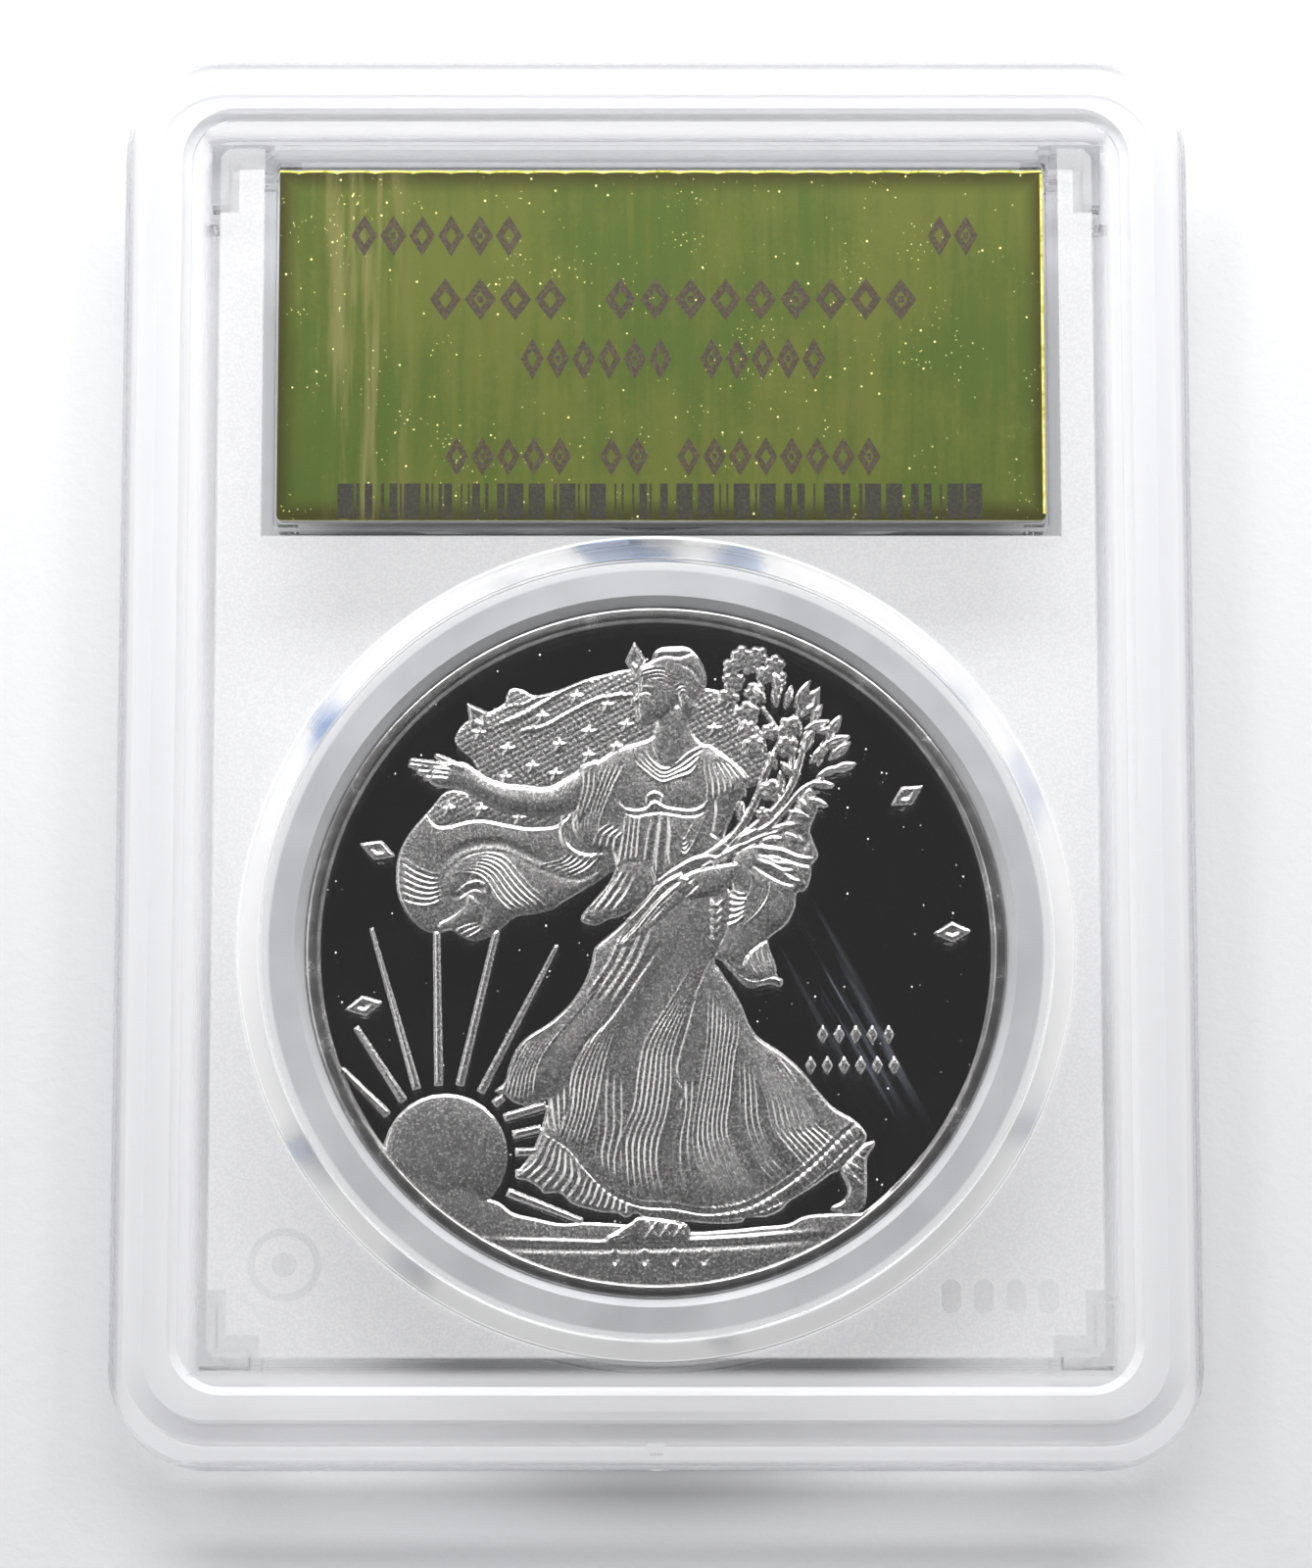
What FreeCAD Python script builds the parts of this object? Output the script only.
"""Graded coin slab: a sealed two-shell holder with a coin, its gasket and its label stack.

Frame: millimetres, origin at the middle of the back face, +X across the slab, +Y along it
towards the label, +Z out of the front face. The slab lies on its back.
"""
import FreeCAD, Part
import math
import os

import Sketcher
from FreeCAD import Placement, Rotation, Vector

DOC = FreeCAD.newDocument("coin_slab")

# ---------------------------------------------------------------- driving dimensions
SIZES = {
    # outline of the two shells
    "flange_wide": 62.7, "flange_long": 83.65, "flange_round": 5.8,
    "body_wide": 60.7, "body_long": 81.05, "body_round": 4.8,
    "ridge_top": 8.0, "flange_high": 4.85, "parting": 4.25, "flange_low": 3.65,
    "ridge_slope_wide": 1.15, "ridge_slope_drop": 0.6, "flange_edge": 0.22,
    # stacking recess of the front, stacking plateau and foot ring of the back
    "recess_inset": 3.1, "recess_round": 2.6, "recess_deep": 0.9,
    "recess_lip_wide": 0.55, "recess_lip_drop": 0.55,
    "panel_inset": 4.6, "panel_round": 1.4, "panel_rise": 0.12,
    "plateau_inset": 3.4, "plateau_round": 2.3, "plateau_high": 0.8,
    "foot_inset": 5.0, "foot_round": 1.2, "foot_high": 0.3, "back_edge": 0.6,
    # inside of the shells, and the weld tongue in its groove
    "cavity_inset": 2.8, "cavity_round": 2.4, "window_under": 5.95, "floor_top": 1.5,
    "tongue_outer_inset": 1.0, "tongue_outer_round": 3.8,
    "tongue_inner_inset": 1.9, "tongue_inner_round": 2.9,
    "tongue_long": 1.0, "groove_deep": 1.05,
    # coin, its gasket and the wall around them
    "coin_y": -11.89, "coin_dia": 40.6, "coin_under": 2.51, "coin_thick": 2.98,
    "rim_wide": 0.78, "field_deep": 0.28, "relief_below_rim": 0.04, "reed_deep": 0.12, "reeds": 201,
    "sun_x": -12.1, "sun_y": -12.0, "sun_dia": 7.2, "ground_dia": 36.0, "ground_y": -15.6,
    "head_x": 0.9, "head_y": 15.7, "head_dia": 4.2,
    "reverse_device_dia": 14.0,
    "wall_inner_dia": 45.8, "wall_outer_dia": 48.3,
    "gasket_dia": 45.7, "gasket_ledge": 0.6, "gasket_bevel_wide": 0.55, "gasket_bevel_drop": 0.6,
    # label well in the front shell, label shelf in the back shell
    "label_x": 0.3, "label_y": 24.06, "label_wide": 44.9, "label_long": 21.2, "label_round": 0.4,
    "well_outer_wide": 46.9, "well_outer_long": 23.7, "well_outer_round": 0.9,
    "well_inner_wide": 45.3, "well_inner_long": 22.1, "well_inner_round": 0.3, "well_low": 4.4,
    "shelf_outer_wide": 45.1, "shelf_outer_long": 21.4,
    "shelf_inner_wide": 43.3, "shelf_inner_long": 19.6,
    # label stack, from the back to the front
    "label_foot": 5.2, "seal_thick": 0.05, "seal_wide": 14.0, "seal_long": 9.0, "seal_x": 12.0,
    "paper_thick": 0.12, "strap_thick": 0.04, "film_thick": 0.08, "film_wide": 42.0, "film_long": 19.0,
    "wire_thick": 0.06, "card_thick": 0.28, "foil_thick": 0.12,
    # antenna coil, its strap and the chip
    "coil_wide": 39.0, "coil_long": 16.0, "coil_line": 0.4, "coil_pitch": 0.8, "coil_turns": 5,
    "strap_wide": 0.6, "chip_size": 1.1,
    # corner posts of the front shell and their sockets in the back shell
    "post_x": 26.15, "post_y": 36.1, "post_leg_x": 2.9, "post_leg_y": 3.6, "post_wide": 1.0,
    "post_low": 2.2, "socket_gap": 0.05, "socket_wall": 0.6, "socket_top": 4.2,
    # plain moulded marks of the front panel, and the gate vestige
    "mark_rise": 0.1, "mark_x": 21.2, "mark_y": -30.4, "mark_size": 4.2, "mark_line": 0.42,
    "bars": 4, "bar_wide": 1.1, "bar_tall": 1.9, "bar_step": 1.85, "mark_bar_x": 19.6, "bar_y": -32.2,
    "gate_wide": 1.05, "gate_foot": 0.75, "gate_long": 0.55, "gate_high": 1.6,
}


def make_sheet():
    """Put every driving dimension into a spreadsheet cell with its name as the alias."""
    sheet = DOC.addObject("Spreadsheet::Sheet", "Sizes")
    for row, (name, value) in enumerate(SIZES.items(), start=1):
        sheet.set(f"A{row}", name)
        sheet.set(f"B{row}", str(value))
        sheet.setAlias(f"B{row}", name)
    DOC.recompute()
    return sheet


SHEET = make_sheet()


def size(name):
    """A driving dimension as a number, read from the sheet."""
    return float(SHEET.get(name))


def S(name):
    """A sheet cell's name as expressions write it."""
    return f"<<Sizes>>.{name}"


def number(expression):
    """The value of an expression of sheet names, for a sketch's first guess of its geometry."""
    return float(SHEET.evalExpression(expression))


# ---------------------------------------------------------------- sketch helpers
def new_body(name):
    """A PartDesign body whose label names the sub-part."""
    body = DOC.addObject("PartDesign::Body", name)
    body.Label = name
    return body


def origin_plane(body, role):
    """One of a body's own origin planes."""
    return next(part for part in body.Origin.OriginFeatures if part.Role == role)


def origin_axis(body, role):
    """One of a body's own origin axes."""
    return origin_plane(body, role)


def new_sketch(body, name, height, across="0", along="0"):
    """A sketch parallel to the body's XY plane; its place is bound to the sheet."""
    sketch = body.newObject("Sketcher::SketchObject", name)
    sketch.AttachmentSupport = [(origin_plane(body, "XY_Plane"), "")]
    sketch.MapMode = "FlatFace"
    sketch.AttachmentOffset = Placement(
        Vector(number(across), number(along), number(height)), Rotation())
    sketch.setExpression("AttachmentOffset.Base.x", across)
    sketch.setExpression("AttachmentOffset.Base.y", along)
    sketch.setExpression("AttachmentOffset.Base.z", height)
    return sketch


def bind(sketch, constraint, expression):
    """Add a dimension to a sketch and bind it to an expression of sheet names."""
    index = sketch.addConstraint(constraint)
    sketch.setExpression(f"Constraints[{index}]", expression)


def rounded_rectangle(sketch, wide, long, corner):
    """A fully constrained rounded rectangle, centred on the sketch's origin."""
    half_x = number(f"({wide}) / 2")
    half_y = number(f"({long}) / 2")
    r = number(corner)
    first = sketch.GeometryCount
    runs = [
        ((-half_x + r, half_y), (half_x - r, half_y)),
        ((half_x, half_y - r), (half_x, -half_y + r)),
        ((half_x - r, -half_y), (-half_x + r, -half_y)),
        ((-half_x, -half_y + r), (-half_x, half_y - r)),
    ]
    for start, end in runs:
        sketch.addGeometry(Part.LineSegment(Vector(*start, 0), Vector(*end, 0)), False)
    corners = [(1, 1, 0), (1, -1, -90), (-1, -1, -180), (-1, 1, -270)]
    for sign_x, sign_y, turn in corners:
        centre = Vector(sign_x * (half_x - r), sign_y * (half_y - r), 0)
        circle = Part.Circle(centre, Vector(0, 0, 1), r)
        arc = Part.ArcOfCircle(circle, math.radians(turn), math.radians(turn + 90))
        sketch.addGeometry(arc, False)
    for side in range(4):
        line = first + side
        arc = first + 4 + side
        next_line = first + (side + 1) % 4
        sketch.addConstraint(Sketcher.Constraint("Tangent", line, 2, arc, 2))
        sketch.addConstraint(Sketcher.Constraint("Tangent", arc, 1, next_line, 1))
        sketch.addConstraint(Sketcher.Constraint("Horizontal" if side % 2 == 0 else "Vertical", line))
    for arc in (first + 5, first + 6, first + 7):
        sketch.addConstraint(Sketcher.Constraint("Equal", first + 4, arc))
    bind(sketch, Sketcher.Constraint("Radius", first + 4, r), corner)
    reach_x = f"({wide}) / 2 - ({corner})"
    reach_y = f"({long}) / 2 - ({corner})"
    upper, lower = first + 4, first + 6
    bind(sketch, Sketcher.Constraint("DistanceX", -1, 1, upper, 3, half_x - r), reach_x)
    bind(sketch, Sketcher.Constraint("DistanceY", -1, 1, upper, 3, half_y - r), reach_y)
    bind(sketch, Sketcher.Constraint("DistanceX", lower, 3, -1, 1, half_x - r), reach_x)
    bind(sketch, Sketcher.Constraint("DistanceY", lower, 3, -1, 1, half_y - r), reach_y)


def centred_circle(sketch, diameter):
    """A circle on the sketch's origin."""
    circle = Part.Circle(Vector(0, 0, 0), Vector(0, 0, 1), number(diameter) / 2)
    index = sketch.addGeometry(circle, False)
    sketch.addConstraint(Sketcher.Constraint("Coincident", index, 3, -1, 1))
    bind(sketch, Sketcher.Constraint("Diameter", index, number(diameter)), diameter)


def corner_bracket(sketch, leg_x, leg_y, wide, grow="0"):
    """An L with its outer corner at the sketch's origin; both legs run towards -X and -Y."""
    g = number(grow)
    x_end, y_end, inner = -number(leg_x) - g, -number(leg_y) - g, -number(wide) - g
    points = [(g, g), (g, y_end), (inner, y_end), (inner, inner), (x_end, inner), (x_end, g)]
    for start, end in zip(points, points[1:] + points[:1]):
        sketch.addGeometry(Part.LineSegment(Vector(*start, 0), Vector(*end, 0)), False)
    for side in range(6):
        sketch.addConstraint(Sketcher.Constraint("Coincident", side, 2, (side + 1) % 6, 1))
        sketch.addConstraint(Sketcher.Constraint("Vertical" if side % 2 == 0 else "Horizontal", side))
    places = [
        ("DistanceX", -1, 1, 0, 1, g, grow),
        ("DistanceY", -1, 1, 0, 1, g, grow),
        ("DistanceY", 0, 2, -1, 1, -y_end, f"({leg_y}) + ({grow})"),
        ("DistanceX", 1, 2, -1, 1, -inner, f"({wide}) + ({grow})"),
        ("DistanceY", 2, 2, -1, 1, -inner, f"({wide}) + ({grow})"),
        ("DistanceX", 3, 2, -1, 1, -x_end, f"({leg_x}) + ({grow})"),
    ]
    for kind, first, first_end, second, second_end, value, expression in places:
        bind(sketch, Sketcher.Constraint(kind, first, first_end, second, second_end, value), expression)


# ---------------------------------------------------------------- feature helpers
def pad(body, sketch, length, down=False):
    """Grow material from a sketch, upwards or downwards."""
    feature = body.newObject("PartDesign::Pad", sketch.Name + "_pad")
    feature.Profile = sketch
    feature.setExpression("Length", length)
    feature.Reversed = down
    sketch.Visibility = False
    DOC.recompute()
    return feature


def pocket(body, sketch, depth, up=False):
    """Cut from a sketch, downwards or upwards, and make sure that the cut took material."""
    before = body.Shape.Volume
    feature = body.newObject("PartDesign::Pocket", sketch.Name + "_cut")
    feature.Profile = sketch
    feature.setExpression("Length", depth)
    feature.Reversed = up
    DOC.recompute()
    if body.Shape.Volume > before - 1e-6:
        raise RuntimeError(f"{feature.Name} cuts nothing")
    return feature


def edges_level(body, height, reach_x, reach_y):
    """Edges of a body at one height that lie on a rectangle of the given half sizes."""
    names = []
    for index, edge in enumerate(body.Shape.Edges, start=1):
        box = edge.BoundBox
        level = abs(box.ZMin - height) < 1e-4 and abs(box.ZMax - height) < 1e-4
        far = max(abs(box.XMin), abs(box.XMax)), max(abs(box.YMin), abs(box.YMax))
        on_side = abs(far[0] - reach_x) < 1e-3 or abs(far[1] - reach_y) < 1e-3
        inside = far[0] < reach_x + 1e-3 and far[1] < reach_y + 1e-3
        if level and on_side and inside:
            names.append(f"Edge{index}")
    return names


def bevel(body, name, edges, along_z, across, flip=False):
    """A bevel with two lengths, along the wall and across the level face."""
    base = body.Tip
    feature = body.newObject("PartDesign::Chamfer", name)
    feature.Base = (base, edges)
    feature.ChamferType = 1
    feature.setExpression("Size", along_z)
    feature.setExpression("Size2", across)
    feature.FlipDirection = flip
    DOC.recompute()
    return feature


def mirrored_corners(body, feature, name):
    """Repeat a feature at the four corners by mirroring it across both middle planes."""
    across = body.newObject("PartDesign::MultiTransform", name)
    across.Originals = [feature]
    steps = []
    for step, plane in (("across", "YZ_Plane"), ("along", "XZ_Plane")):
        mirror = body.newObject("PartDesign::Mirrored", f"{name}_{step}")
        mirror.MirrorPlane = (origin_plane(body, plane), [""])
        steps.append(mirror)
    across.Transformations = steps
    body.Tip = across
    DOC.recompute()
    return across


def outline(body, name, height, inset, corner):
    """A rounded outline at one inset from the shells' main outline."""
    sketch = new_sketch(body, name, height)
    rounded_rectangle(
        sketch,
        f"<<Sizes>>.body_wide - 2 * ({inset})",
        f"<<Sizes>>.body_long - 2 * ({inset})",
        corner)
    return sketch


def tongue_outline(body, name):
    """The closed band between the two outlines of the weld tongue, at the parting plane."""
    sketch = outline(body, name, S("parting"), S("tongue_outer_inset"), S("tongue_outer_round"))
    rounded_rectangle(
        sketch,
        f"{S('body_wide')} - 2 * {S('tongue_inner_inset')}",
        f"{S('body_long')} - 2 * {S('tongue_inner_inset')}",
        S("tongue_inner_round"))
    return sketch


# ---------------------------------------------------------------- sub-parts
def make_front_shell():
    """The clear front shell: ridge, window, label well, coin wall, posts and weld tongue."""
    body = new_body("front_shell")
    flange = new_sketch(body, "front_flange", S("parting"))
    rounded_rectangle(flange, S("flange_wide"), S("flange_long"), S("flange_round"))
    pad(body, flange, f"{S('flange_high')} - {S('parting')}")
    bevel(body, "front_flange_bevel",
          edges_level(body, size("flange_high"), size("flange_wide") / 2, size("flange_long") / 2),
          S("flange_edge"), S("flange_edge"))
    wall = outline(body, "front_wall", S("parting"), "0", S("body_round"))
    pad(body, wall, f"{S('ridge_top')} - {S('parting')}")
    bevel(body, "ridge_slope",
          edges_level(body, size("ridge_top"), size("body_wide") / 2, size("body_long") / 2),
          S("ridge_slope_drop"), S("ridge_slope_wide"))
    recess = outline(body, "front_recess", S("ridge_top"), S("recess_inset"), S("recess_round"))
    pocket(body, recess, S("recess_deep"))
    bevel(body, "recess_lip",
          edges_level(body, size("ridge_top"), size("body_wide") / 2 - size("recess_inset"),
                      size("body_long") / 2 - size("recess_inset")),
          S("recess_lip_drop"), S("recess_lip_wide"))
    floor_level = f"{S('ridge_top')} - {S('recess_deep')}"
    panel = outline(body, "front_panel", floor_level, S("panel_inset"), S("panel_round"))
    pad(body, panel, S("panel_rise"))
    cavity = outline(body, "front_cavity", S("parting"), S("cavity_inset"), S("cavity_round"))
    pocket(body, cavity, f"{S('window_under')} - {S('parting')}", up=True)
    coin_wall = new_sketch(body, "front_coin_wall", S("window_under"), along=S("coin_y"))
    centred_circle(coin_wall, S("wall_outer_dia"))
    centred_circle(coin_wall, S("wall_inner_dia"))
    pad(body, coin_wall, f"{S('window_under')} - {S('parting')}", down=True)
    well = new_sketch(body, "label_well", S("window_under"), S("label_x"), S("label_y"))
    rounded_rectangle(well, S("well_outer_wide"), S("well_outer_long"), S("well_outer_round"))
    rounded_rectangle(well, S("well_inner_wide"), S("well_inner_long"), S("well_inner_round"))
    pad(body, well, f"{S('window_under')} - {S('well_low')}", down=True)
    post = new_sketch(body, "corner_post", S("window_under"), S("post_x"), S("post_y"))
    corner_bracket(post, S("post_leg_x"), S("post_leg_y"), S("post_wide"))
    corner = pad(body, post, f"{S('window_under')} - {S('post_low')}", down=True)
    mirrored_corners(body, corner, "corner_posts")
    pad(body, tongue_outline(body, "weld_tongue"), S("tongue_long"), down=True)
    add_front_marks(body)
    return body


def add_front_marks(body):
    """Plain moulded marks on the panel and the vestige of the injection gate."""
    top = f"{S('ridge_top')} - {S('recess_deep')} + {S('panel_rise')}"
    ring = new_sketch(body, "mark_ring", top, f"-{S('mark_x')}", S("mark_y"))
    centred_circle(ring, S("mark_size"))
    centred_circle(ring, f"{S('mark_size')} - 2 * {S('mark_line')}")
    pad(body, ring, S("mark_rise"))
    dot = new_sketch(body, "mark_dot", top, f"-{S('mark_x')}", S("mark_y"))
    centred_circle(dot, f"{S('mark_size')} / 3")
    pad(body, dot, S("mark_rise"))
    for index in range(int(size("bars"))):
        across = f"{S('mark_bar_x')} + ({index} - ({S('bars')} - 1) / 2) * {S('bar_step')}"
        bar = new_sketch(body, f"mark_bar_{index}", top, across, S("bar_y"))
        rounded_rectangle(bar, S("bar_wide"), S("bar_tall"), f"{S('bar_wide')} / 2.2")
        pad(body, bar, S("mark_rise"))
    gate = new_sketch(body, "gate_vestige", S("flange_high"), along=f"-{S('body_long')} / 2")
    top_half = size("gate_wide") / 2
    foot_half = size("gate_foot") / 2
    reach = size("gate_long")
    points = [(-top_half, 0.0), (top_half, 0.0), (foot_half, -reach), (-foot_half, -reach)]
    for start, end in zip(points, points[1:] + points[:1]):
        gate.addGeometry(Part.LineSegment(Vector(*start, 0), Vector(*end, 0)), False)
    for side in range(4):
        gate.addConstraint(Sketcher.Constraint("Coincident", side, 2, (side + 1) % 4, 1))
    gate.addConstraint(Sketcher.Constraint("PointOnObject", 0, 1, -1))
    gate.addConstraint(Sketcher.Constraint("PointOnObject", 0, 2, -1))
    gate.addConstraint(Sketcher.Constraint("Horizontal", 2))
    bind(gate, Sketcher.Constraint("DistanceX", 0, 1, -1, 1, top_half), f"{S('gate_wide')} / 2")
    bind(gate, Sketcher.Constraint("DistanceX", -1, 1, 0, 2, top_half), f"{S('gate_wide')} / 2")
    bind(gate, Sketcher.Constraint("DistanceX", 2, 2, -1, 1, foot_half), f"{S('gate_foot')} / 2")
    bind(gate, Sketcher.Constraint("DistanceX", -1, 1, 2, 1, foot_half), f"{S('gate_foot')} / 2")
    bind(gate, Sketcher.Constraint("DistanceY", 2, 1, -1, 1, reach), S("gate_long"))
    pad(body, gate, S("gate_high"))


def make_back_shell():
    """The clear back shell: stacking plateau, window, label shelf, coin wall, sockets, groove."""
    body = new_body("back_shell")
    flange = new_sketch(body, "back_flange", S("flange_low"))
    rounded_rectangle(flange, S("flange_wide"), S("flange_long"), S("flange_round"))
    pad(body, flange, f"{S('parting')} - {S('flange_low')}")
    bevel(body, "back_flange_bevel",
          edges_level(body, size("flange_low"), size("flange_wide") / 2, size("flange_long") / 2),
          S("flange_edge"), S("flange_edge"))
    wall = outline(body, "back_wall", S("plateau_high"), "0", S("body_round"))
    pad(body, wall, f"{S('parting')} - {S('plateau_high')}")
    bevel(body, "back_edge_bevel",
          edges_level(body, size("plateau_high"), size("body_wide") / 2, size("body_long") / 2),
          S("back_edge"), S("back_edge"))
    plateau = outline(body, "stacking_plateau", "0", S("plateau_inset"), S("plateau_round"))
    pad(body, plateau, S("plateau_high"))
    foot = outline(body, "foot_recess", "0", S("foot_inset"), S("foot_round"))
    pocket(body, foot, S("foot_high"), up=True)
    cavity = outline(body, "back_cavity", S("parting"), S("cavity_inset"), S("cavity_round"))
    pocket(body, cavity, f"{S('parting')} - {S('floor_top')}")
    pocket(body, tongue_outline(body, "weld_groove"), S("groove_deep"))
    coin_wall = new_sketch(body, "back_coin_wall", S("floor_top"), along=S("coin_y"))
    centred_circle(coin_wall, S("wall_outer_dia"))
    centred_circle(coin_wall, S("wall_inner_dia"))
    pad(body, coin_wall, f"{S('parting')} - {S('floor_top')}")
    shelf = new_sketch(body, "label_shelf", S("floor_top"), S("label_x"), S("label_y"))
    rounded_rectangle(shelf, S("shelf_outer_wide"), S("shelf_outer_long"), S("label_round"))
    rounded_rectangle(shelf, S("shelf_inner_wide"), S("shelf_inner_long"), S("label_round"))
    pad(body, shelf, f"{S('label_foot')} - {S('floor_top')}")
    block = new_sketch(body, "socket_block", S("floor_top"), S("post_x"), S("post_y"))
    corner_bracket(block, S("post_leg_x"), S("post_leg_y"), S("post_wide"),
                   f"{S('socket_gap')} + {S('socket_wall')}")
    mirrored_corners(body, pad(body, block, f"{S('socket_top')} - {S('floor_top')}"), "socket_blocks")
    hole = new_sketch(body, "socket_hole", S("socket_top"), S("post_x"), S("post_y"))
    corner_bracket(hole, S("post_leg_x"), S("post_leg_y"), S("post_wide"), S("socket_gap"))
    cut = pocket(body, hole, f"{S('socket_top')} - {S('post_low')}")
    mirrored_corners(body, cut, "socket_holes")
    return body


def make_coin_gasket():
    """The soft ring that grips the coin's edge and fills the coin wall, floor to window."""
    body = new_body("coin_gasket")
    sketch = body.newObject("Sketcher::SketchObject", "gasket_section")
    sketch.AttachmentSupport = [(origin_plane(body, "XZ_Plane"), "")]
    sketch.MapMode = "FlatFace"
    bore = f"{S('coin_dia')} / 2"
    places = [
        (f"{bore} - {S('gasket_ledge')}", S("floor_top")),
        (f"{S('gasket_dia')} / 2", S("floor_top")),
        (f"{S('gasket_dia')} / 2", S("window_under")),
        (f"{bore} + {S('gasket_bevel_wide')}", S("window_under")),
        (bore, f"{S('window_under')} - {S('gasket_bevel_drop')}"),
        (bore, S("coin_under")),
        (f"{bore} - {S('gasket_ledge')}", S("coin_under")),
    ]
    points = [Vector(number(x), number(y), 0) for x, y in places]
    count = len(points)
    for index in range(count):
        sketch.addGeometry(Part.LineSegment(points[index], points[(index + 1) % count]), False)
    for index in range(count):
        sketch.addConstraint(Sketcher.Constraint("Coincident", index, 2, (index + 1) % count, 1))
    for index, (x, y) in enumerate(places):
        bind(sketch, Sketcher.Constraint("DistanceX", -1, 1, index, 1, points[index].x), x)
        bind(sketch, Sketcher.Constraint("DistanceY", -1, 1, index, 1, points[index].y), y)
    ring = body.newObject("PartDesign::Revolution", "gasket_ring")
    ring.Profile = sketch
    ring.ReferenceAxis = (origin_axis(body, "Z_Axis"), [""])
    ring.Angle = 360.0
    body.setExpression("Placement.Base.y", S("coin_y"))
    DOC.recompute()
    return body


def reeded_outline():
    """The coin's edge in plan: one shallow notch for every reed."""
    reeds = int(size("reeds"))
    crest = size("coin_dia") / 2
    root = crest - size("reed_deep")
    points = []
    for step in range(2 * reeds):
        radius = crest if step % 2 == 0 else root
        angle = math.pi * step / reeds
        points.append(Vector(radius * math.cos(angle), radius * math.sin(angle), 0))
    return Part.Wire(Part.makePolygon(points + points[:1]))


def make_coin():
    """The struck coin: reeded edge, raised rims and sunk fields with a plain device on each."""
    thick = size("coin_thick")
    deep = size("field_deep")
    field = size("coin_dia") / 2 - size("rim_wide")
    blank = Part.Face(reeded_outline()).extrude(Vector(0, 0, thick))
    for low in (-1.0, thick - deep):
        depth = 1.0 + deep
        blank = blank.cut(Part.makeCylinder(field, depth, Vector(0, 0, low)))
    relief = deep - size("relief_below_rim")
    shapes = [blank]
    for outline_wire in [sun_outline(), ground_outline(), head_outline()] + figure_outlines():
        shapes.append(Part.Face(outline_wire).extrude(Vector(0, 0, relief)))
    for shape in shapes[1:]:
        shape.translate(Vector(0, 0, thick - deep))
    device = Part.makeCylinder(size("reverse_device_dia") / 2, relief, Vector(0, 0, deep - relief))
    solid = blank.fuse(shapes[1:] + [device]).removeSplitter()
    coin = DOC.addObject("Part::Feature", "coin")
    coin.Label = "coin"
    coin.Shape = solid
    coin.Placement = Placement(Vector(0, size("coin_y"), size("coin_under")), Rotation())
    return coin


def sun_outline():
    """The round sun low on the left of the front device."""
    centre = Vector(size("sun_x"), size("sun_y"), 0)
    return Part.Wire(Part.Circle(centre, Vector(0, 0, 1), size("sun_dia") / 2).toShape())


def head_outline():
    """The head of the robed figure, as a plain round."""
    centre = Vector(size("head_x"), size("head_y"), 0)
    return Part.Wire(Part.Circle(centre, Vector(0, 0, 1), size("head_dia") / 2).toShape())


# Outlines of the robed figure, in millimetres from the coin's centre: its blown cape, its
# dress with the gathered cloth at the hip, its outstretched arm, and the branch it carries.
FIGURE = [
    [(-1.3, 16.3), (-4.6, 15.6), (-8.6, 15.1), (-11.5, 12.8), (-10.6, 10.4), (-13.2, 8.2),
     (-15.0, 5.0), (-14.1, 1.9), (-10.4, 0.7), (-6.5, 2.2), (-2.8, 4.4), (1.0, 8.6),
     (5.8, 10.2), (5.4, 13.6), (2.6, 15.2)],
    [(-0.4, 12.6), (-4.1, 10.8), (-4.7, 7.2), (-2.7, 5.0), (-4.1, 2.0), (-2.4, 1.0), (-3.8, -1.2),
     (-5.4, -3.8), (-8.2, -6.3), (-8.8, -8.2), (-6.5, -9.4), (-7.7, -12.9), (-3.9, -15.0),
     (2.0, -15.9), (7.4, -15.0), (11.8, -11.0), (8.6, -7.3), (5.2, -3.8), (4.2, -1.6),
     (7.0, -1.6), (7.9, 2.4), (9.2, 5.6), (7.6, 7.2), (5.3, 9.9), (2.4, 12.4)],
    [(-3.9, 10.6), (-8.0, 9.8), (-11.0, 11.0), (-14.0, 11.1), (-12.8, 9.8), (-9.0, 8.3), (-4.4, 8.1)],
    [(4.6, 8.0), (5.0, 12.6), (4.2, 15.6), (5.6, 17.4), (7.2, 16.0), (9.6, 14.6), (11.2, 11.6),
     (8.6, 8.6)],
]


def figure_outlines():
    """Smooth closed curves through the figure's outline points."""
    wires = []
    for points in FIGURE:
        curve = Part.BSplineCurve()
        curve.interpolate([Vector(x, y, 0) for x, y in points], PeriodicFlag=True)
        wires.append(Part.Wire(curve.toShape()))
    return wires


def ground_outline():
    """The strip of ground across the foot of the front device: a chord and its arc."""
    radius = size("ground_dia") / 2
    level = size("ground_y")
    reach = math.sqrt(radius * radius - level * level)
    left, right = Vector(-reach, level, 0), Vector(reach, level, 0)
    arc = Part.Arc(left, Vector(0, -radius, 0), right).toShape()
    return Part.Wire([arc, Part.LineSegment(right, left).toShape()])


def make_sheet_piece(name, wide, long, low, thick, across="0", corner=None):
    """A flat rounded piece of the label stack, placed from the label's centre."""
    body = new_body(name)
    sketch = new_sketch(body, f"{name}_outline", low,
                        f"{S('label_x')} + {across}", S("label_y"))
    rounded_rectangle(sketch, wide, long, corner or S("label_round"))
    pad(body, sketch, thick)
    return body


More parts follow.
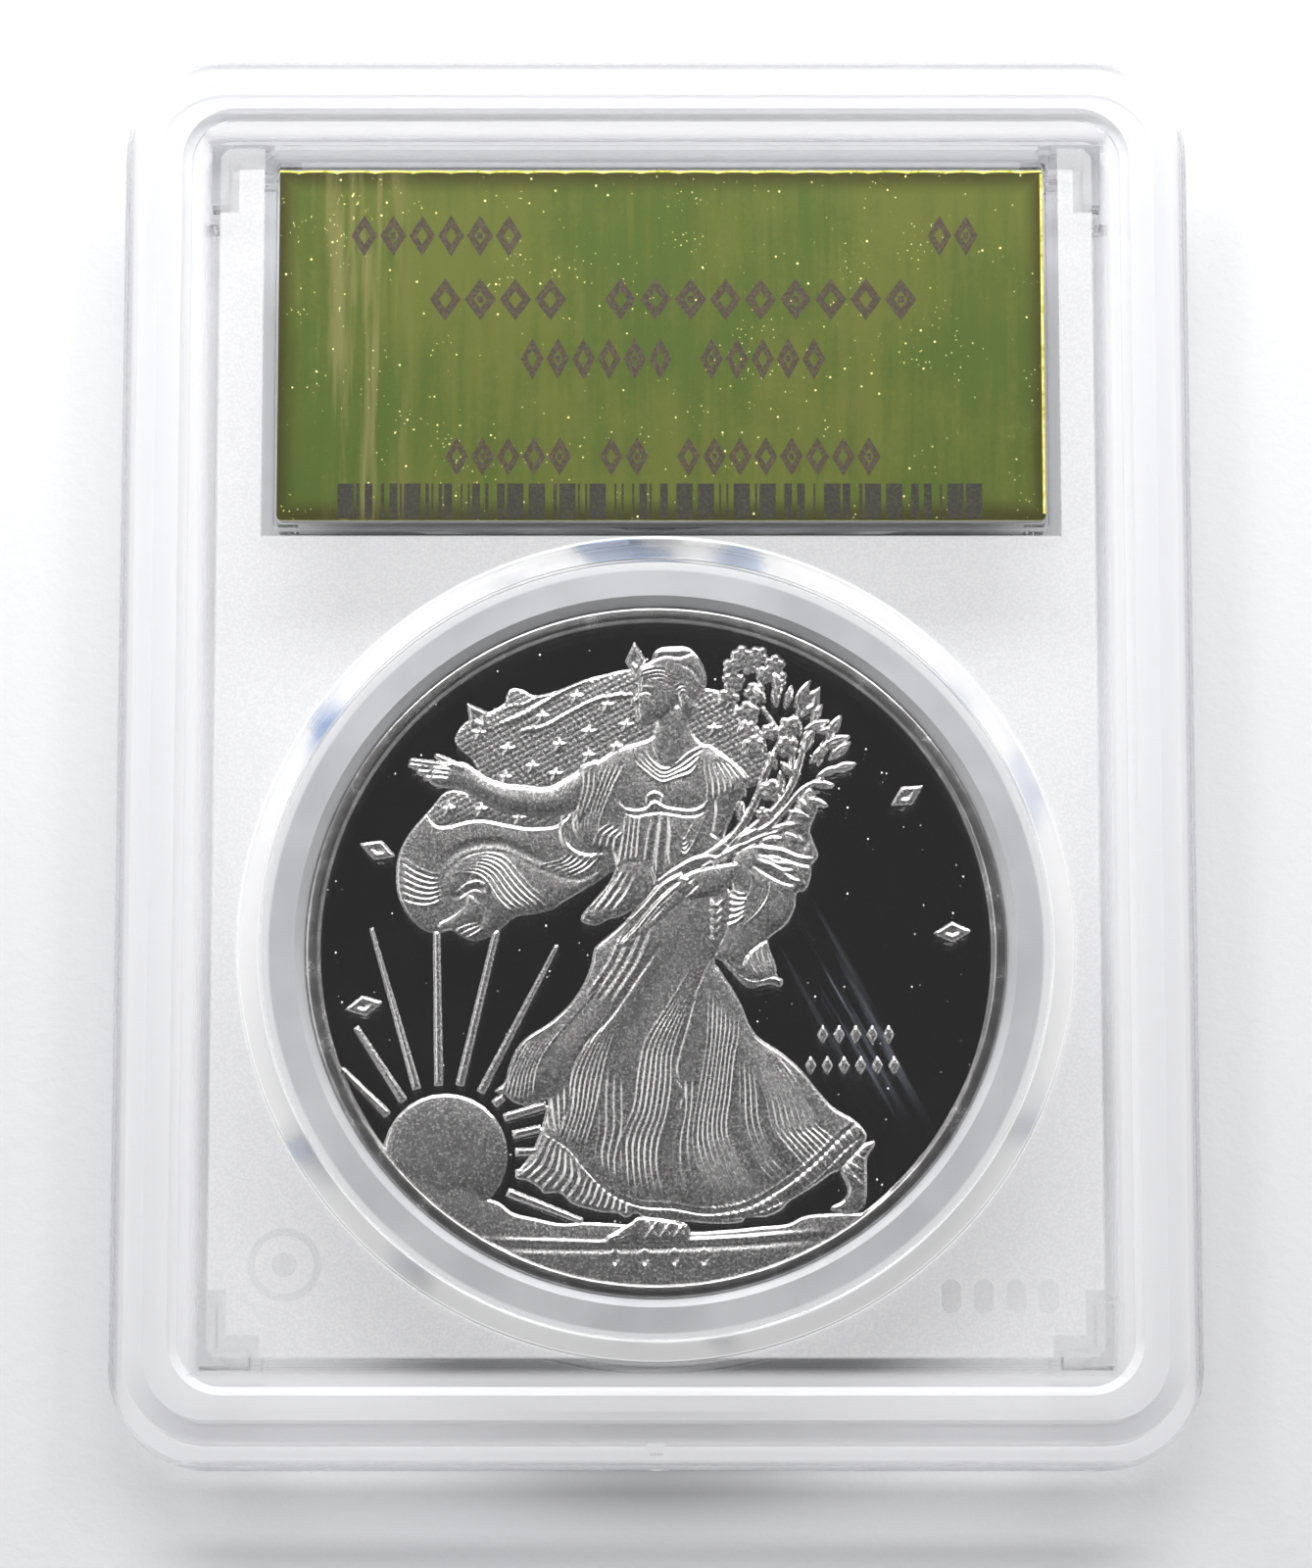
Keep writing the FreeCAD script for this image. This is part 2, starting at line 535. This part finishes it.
def make_label_stack():
    """From the back: seal, back label, film with antenna and chip, card, foil label."""
    foot = S("label_foot")
    film_low = f"{foot} + {S('paper_thick')} + {S('strap_thick')}"
    wire_low = f"{film_low} + {S('film_thick')}"
    card_low = f"{wire_low} + {S('wire_thick')}"
    foil_low = f"{card_low} + {S('card_thick')}"
    full = (S("label_wide"), S("label_long"))
    pieces = [
        make_sheet_piece("hologram_seal", S("seal_wide"), S("seal_long"),
                         f"{foot} - {S('seal_thick')}", S("seal_thick"), across=S("seal_x")),
        make_sheet_piece("back_label", *full, foot, S("paper_thick")),
        make_sheet_piece("inlay_film", S("film_wide"), S("film_long"), film_low, S("film_thick")),
        make_sheet_piece("inlay_chip", S("chip_size"), S("chip_size"), wire_low, S("wire_thick"),
                         across=chip_across(), corner=f"{S('chip_size')} / 12"),
        make_sheet_piece("label_card", *full, card_low, S("card_thick")),
        make_sheet_piece("foil_label", *full, foil_low, S("foil_thick")),
    ]
    pieces.append(make_antenna(number(wire_low), number(film_low)))
    return pieces


def chip_across():
    """The chip sits inside the coil, in line with the strap, touching the track's inner end."""
    inner = f"{S('coil_wide')} / 2 - {S('coil_turns')} * {S('coil_pitch')}"
    return f"{inner} + {S('coil_pitch')} - {S('coil_line')} / 2 - {S('chip_size')} / 2"


def coil_path():
    """Centre line of the rectangular spiral, from its outer end to its inner end at the chip."""
    half_x = size("coil_wide") / 2
    half_y = size("coil_long") / 2
    pitch = size("coil_pitch")
    path = [(half_x, size("strap_wide"))]
    for turn in range(int(size("coil_turns"))):
        x = half_x - turn * pitch
        y = half_y - turn * pitch
        path += [(x, y), (-x, y), (-x, -y), (x - pitch, -y)]
    path.append((half_x - size("coil_turns") * pitch, 0.0))
    return path


def track(path, wide):
    """A flat track of constant width along a path of square turns, as a closed wire."""
    left, right = [], []
    for index, (x, y) in enumerate(path):
        before = path[max(index - 1, 0)]
        after = path[min(index + 1, len(path) - 1)]
        normals = set()
        for start, end in ((before, (x, y)), ((x, y), after)):
            dx, dy = end[0] - start[0], end[1] - start[1]
            length = math.hypot(dx, dy)
            if length > 0:
                normals.add((round(-dy / length), round(dx / length)))
        push_x = sum(normal[0] for normal in normals) * wide / 2
        push_y = sum(normal[1] for normal in normals) * wide / 2
        left.append(Vector(x + push_x, y + push_y, 0))
        right.append(Vector(x - push_x, y - push_y, 0))
    points = left + right[::-1]
    return Part.Wire(Part.makePolygon(points + points[:1]))


def make_antenna(wire_low, film_low):
    """The etched coil on the film and the strap behind the film that brings its outer end in."""
    coil = Part.Face(track(coil_path(), size("coil_line"))).extrude(Vector(0, 0, size("wire_thick")))
    coil.translate(Vector(0, 0, wire_low))
    outer = size("coil_wide") / 2
    inner = outer - (size("coil_turns") + 1) * size("coil_pitch")
    strap = Part.makeBox(outer - inner, size("strap_wide"), size("strap_thick"),
                         Vector(inner, 0, film_low - size("strap_thick")))
    antenna = DOC.addObject("Part::Feature", "inlay_antenna")
    antenna.Label = "inlay_antenna"
    antenna.Shape = Part.makeCompound([coil, strap])
    antenna.Placement = Placement(Vector(size("label_x"), size("label_y"), 0), Rotation())
    return antenna


def check_document(pieces):
    """Stop if any feature failed or any sub-part is empty or not valid."""
    DOC.recompute()
    for item in DOC.Objects:
        if "Invalid" in item.State or "Error" in item.State:
            raise RuntimeError(f"{item.Name} failed: {item.State}")
        if item.isDerivedFrom("Sketcher::SketchObject") and item.solve() != 0:
            raise RuntimeError(f"{item.Name} does not solve")
    for piece in pieces:
        shape = piece.Shape
        if shape.isNull() or not shape.isValid() or not shape.Solids:
            raise RuntimeError(f"{piece.Label} has no valid solid")


def write_parts(pieces):
    """Write each sub-part to its own STEP file and print its volume."""
    os.makedirs("parts", exist_ok=True)
    for piece in pieces:
        piece.Shape.exportStep(f"parts/{piece.Label}.step")
        box = piece.Shape.BoundBox
        print(f"{piece.Label}: {len(piece.Shape.Solids)} solid, {piece.Shape.Volume:.1f} mm3, "
              f"z {box.ZMin:.2f} to {box.ZMax:.2f}, {box.XLength:.2f} x {box.YLength:.2f}")


PIECES = [make_front_shell(), make_back_shell(), make_coin_gasket(), make_coin()]
PIECES += make_label_stack()
check_document(PIECES)
write_parts(PIECES)
